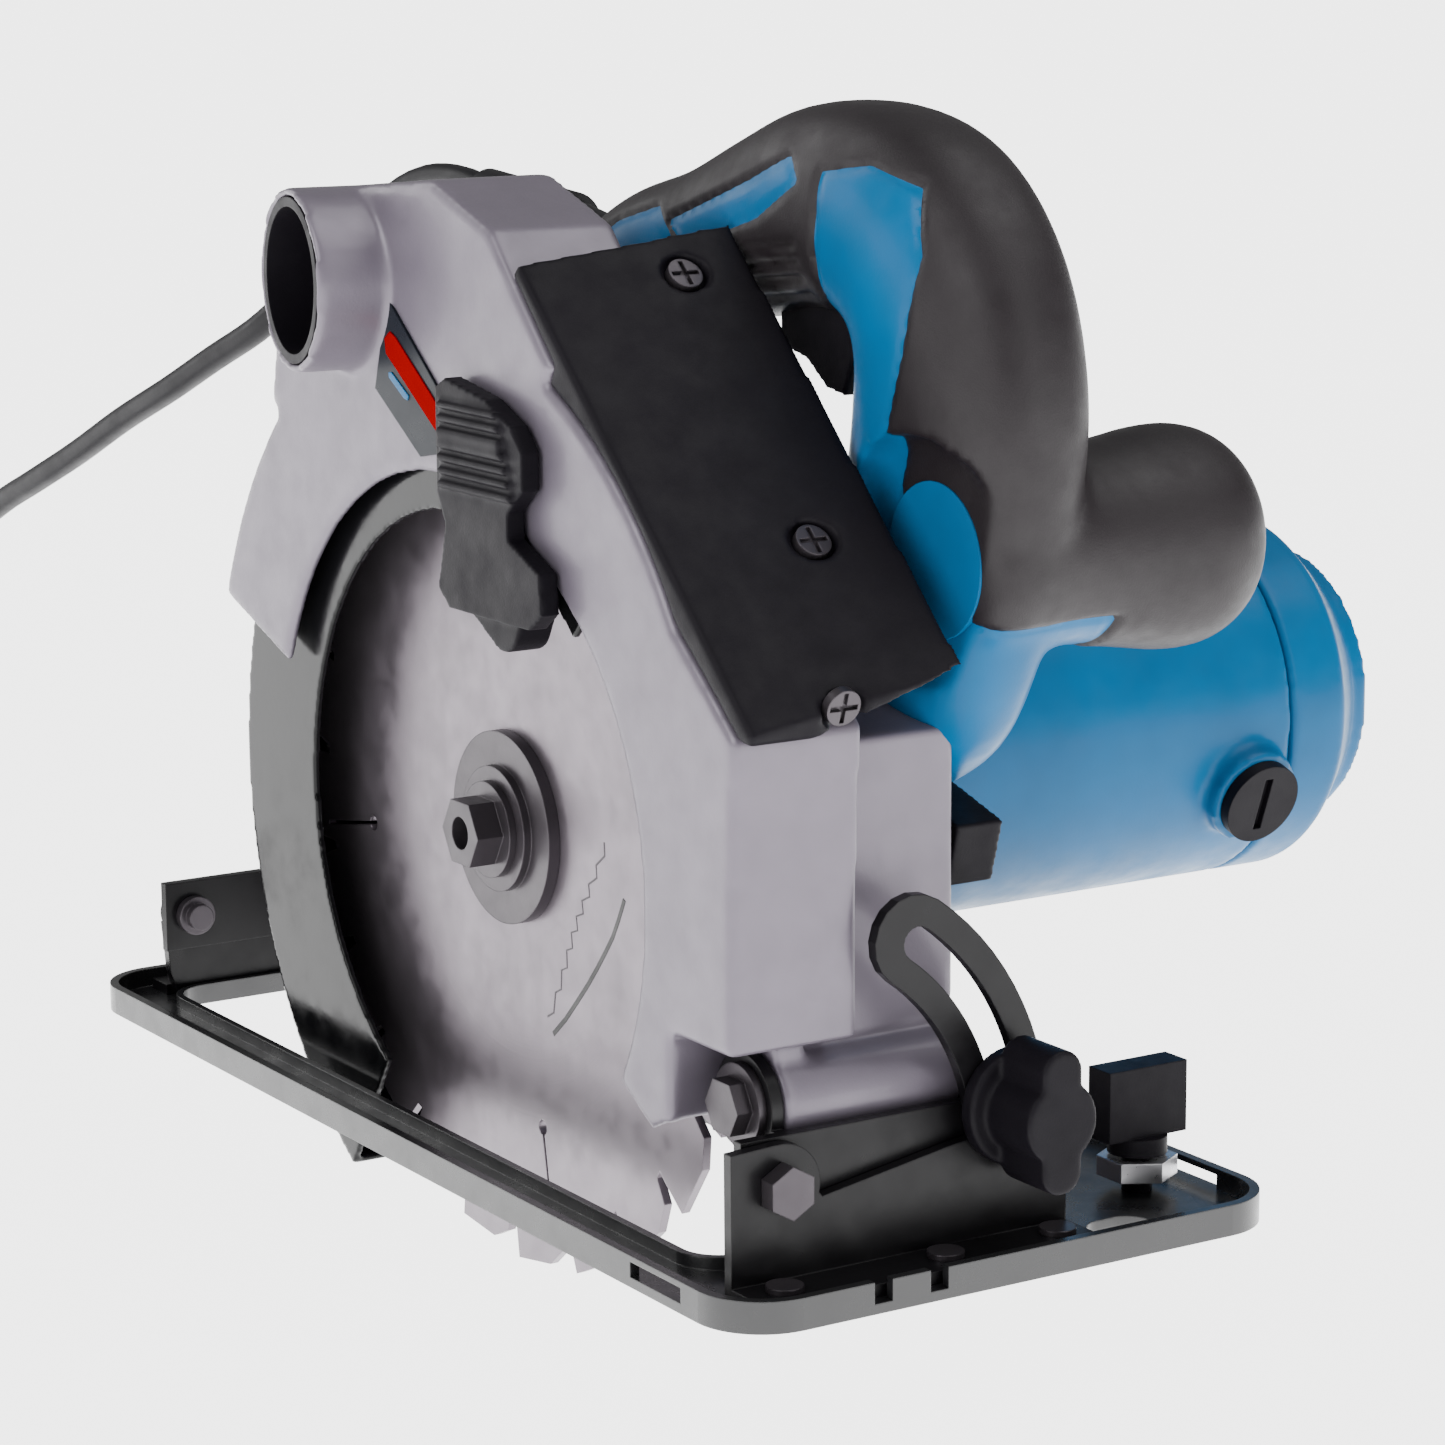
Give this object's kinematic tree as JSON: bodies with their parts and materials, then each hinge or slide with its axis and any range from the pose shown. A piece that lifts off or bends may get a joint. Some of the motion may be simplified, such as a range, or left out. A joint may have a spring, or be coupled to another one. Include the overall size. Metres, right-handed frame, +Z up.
{
  "type": "circular saw",
  "caption": "Corded sidewinder circular saw on a tilting base, with a toothed blade, swinging lower guard, D-handle, front grip and motor.",
  "frame": {"origin": "point of the sole straight below the arbor, in the middle plane of the blade", "axes": "+X the cutting direction, +Y from the blade to the motor, +Z up, square to the sole"},
  "size_m": [0.5067, 0.2905, 0.241],
  "materials": {
    "guard_casting": "satin silver-lavender lacquer on die-cast metal",
    "black_sheet": "semi-gloss black coated sheet steel",
    "black_plastic": "moulded black plastic, slightly sheened",
    "guard_black": "glossy black lower guard",
    "grip_rubber": "soft black overmould",
    "blue_plastic": "blue moulded plastic, satin",
    "blade_steel": "ground and brushed blade plate",
    "dark_steel": "blackened steel",
    "bright_steel": "zinc-plated steel",
    "gear_steel": "machined gear steel",
    "retainer_alloy": "cast, machined",
    "badge_red": null,
    "copper": "copper windings and commutator bars",
    "brass": "brass brush holders and plug pins",
    "carbon": "pressed carbon",
    "cord_rubber": "black rubber cord sheath"
  },
  "bodies": {
    "saw_body": {"upper_guard": "guard_casting", "gear_housing": "guard_casting", "dust_sleeve": "black_plastic", "name_badge": "badge_red", "front_cover": "black_plastic", "cover_screws": "dark_steel", "bearing_retainer": "retainer_alloy", "spindle_bearings": "gear_steel", "guard_spring": "bright_steel", "motor_housing": "blue_plastic", "motor_end_cap": "blue_plastic", "stator": "gear_steel", "motor_bearings": "gear_steel", "carbon_brushes": "carbon", "brush_holders": "brass", "brush_caps": "black_plastic", "handle_shell_right": "blue_plastic", "handle_shell_left": "blue_plastic", "handle_overmold": "grip_rubber", "front_grip": "grip_rubber", "grip_end_cap": "blue_plastic", "switch_module": "black_plastic", "trigger_pin": "bright_steel", "depth_stud": "bright_steel", "strain_relief": "cord_rubber", "cord_tube": "cord_rubber", "cord_coil": "cord_rubber", "plug_body": "cord_rubber", "plug_pins": "brass"},
    "spindle_group": {"spindle": "bright_steel", "output_gear": "gear_steel", "inner_flange": "dark_steel", "blade": "blade_steel", "outer_flange": "dark_steel", "blade_bolt": "dark_steel"},
    "armature": {"armature_shaft": "gear_steel", "armature_core": "copper", "commutator": "copper", "cooling_fan": "black_plastic"},
    "lower_guard_group": {"lower_guard": "guard_black", "guard_lever": "black_plastic"},
    "carriage": {"pivot_bracket": "black_sheet", "bevel_stud": "bright_steel", "depth_hinge_pin": "dark_steel", "depth_guide": "black_sheet"},
    "base": {"base_plate": "black_sheet", "front_quadrant": "black_sheet", "rear_bracket": "black_sheet", "base_rivets": "dark_steel", "guide_clamp_nut": "bright_steel", "bevel_pivot_screws": "dark_steel"},
    "bevel_knob": {"bevel_knob": "black_plastic"},
    "guide_clamp_screw": {"guide_clamp_screw": "black_plastic"},
    "depth_lever": {"depth_lever": "black_plastic"},
    "spindle_lock": {"spindle_lock": "black_plastic"},
    "trigger": {"trigger": "black_plastic"},
    "lock_button": {"lock_button": "black_plastic"}
  },
  "joints": [
    {"name": "depth_hinge", "type": "hinge", "parent": "saw_body", "child": "carriage", "pos_m": [0.098, 0, 0.034], "axis": [0, 1, 0], "range_deg": [-14, 23]},
    {"name": "bevel_hinge", "type": "hinge", "parent": "carriage", "child": "base", "pos_m": [0.11, -0.009, 0.022], "axis": [-1, 0, 0], "range_deg": [0, 45]},
    {"name": "blade_spin", "type": "hinge", "parent": "saw_body", "child": "spindle_group", "pos_m": [0, 0, 0.068], "axis": [0, 1, 0], "continuous": true},
    {"name": "armature_spin", "type": "hinge", "parent": "saw_body", "child": "armature", "pos_m": [0.025, 0.1, 0.083], "axis": [0, 1, 0], "continuous": true},
    {"name": "lower_guard_swing", "type": "hinge", "parent": "saw_body", "child": "lower_guard_group", "pos_m": [0, 0, 0.068], "axis": [0, 1, 0], "range_deg": [-94, 8], "stiffness_Nm_per_rad": 0.15, "springref_deg": -126.05},
    {"name": "bevel_knob_turn", "type": "hinge", "parent": "carriage", "child": "bevel_knob", "pos_m": [0.118, 0.04236, 0.03013], "axis": [1, 0, 0], "range_deg": [0, 160]},
    {"name": "guide_clamp_turn", "type": "hinge", "parent": "base", "child": "guide_clamp_screw", "pos_m": [0.1, 0.084, 0.015], "axis": [0, 0, 1], "range_deg": [0, 300]},
    {"name": "depth_lever_turn", "type": "hinge", "parent": "saw_body", "child": "depth_lever", "pos_m": [-0.07575, 0.03, 0.12253], "axis": [0, 1, 0], "range_deg": [0, 40]},
    {"name": "spindle_lock_press", "type": "slide", "parent": "saw_body", "child": "spindle_lock", "axis": [-0.9613, 0, 0.2756], "range_m": [0, 0.0035], "stiffness_N_per_m": 400, "springref_m": -0.003},
    {"name": "trigger_squeeze", "type": "hinge", "parent": "saw_body", "child": "trigger", "pos_m": [0.045, 0.045, 0.179], "axis": [0, -1, 0], "range_deg": [0, 9], "stiffness_Nm_per_rad": 0.2, "springref_deg": -11.46},
    {"name": "lock_button_press", "type": "slide", "parent": "saw_body", "child": "lock_button", "axis": [0, -1, 0], "range_m": [0, 0.002], "stiffness_N_per_m": 300, "springref_m": -0.002}
  ],
  "couplings": [
    {"joint": "armature_spin", "follows": "blade_spin", "ratio": -4}
  ]
}
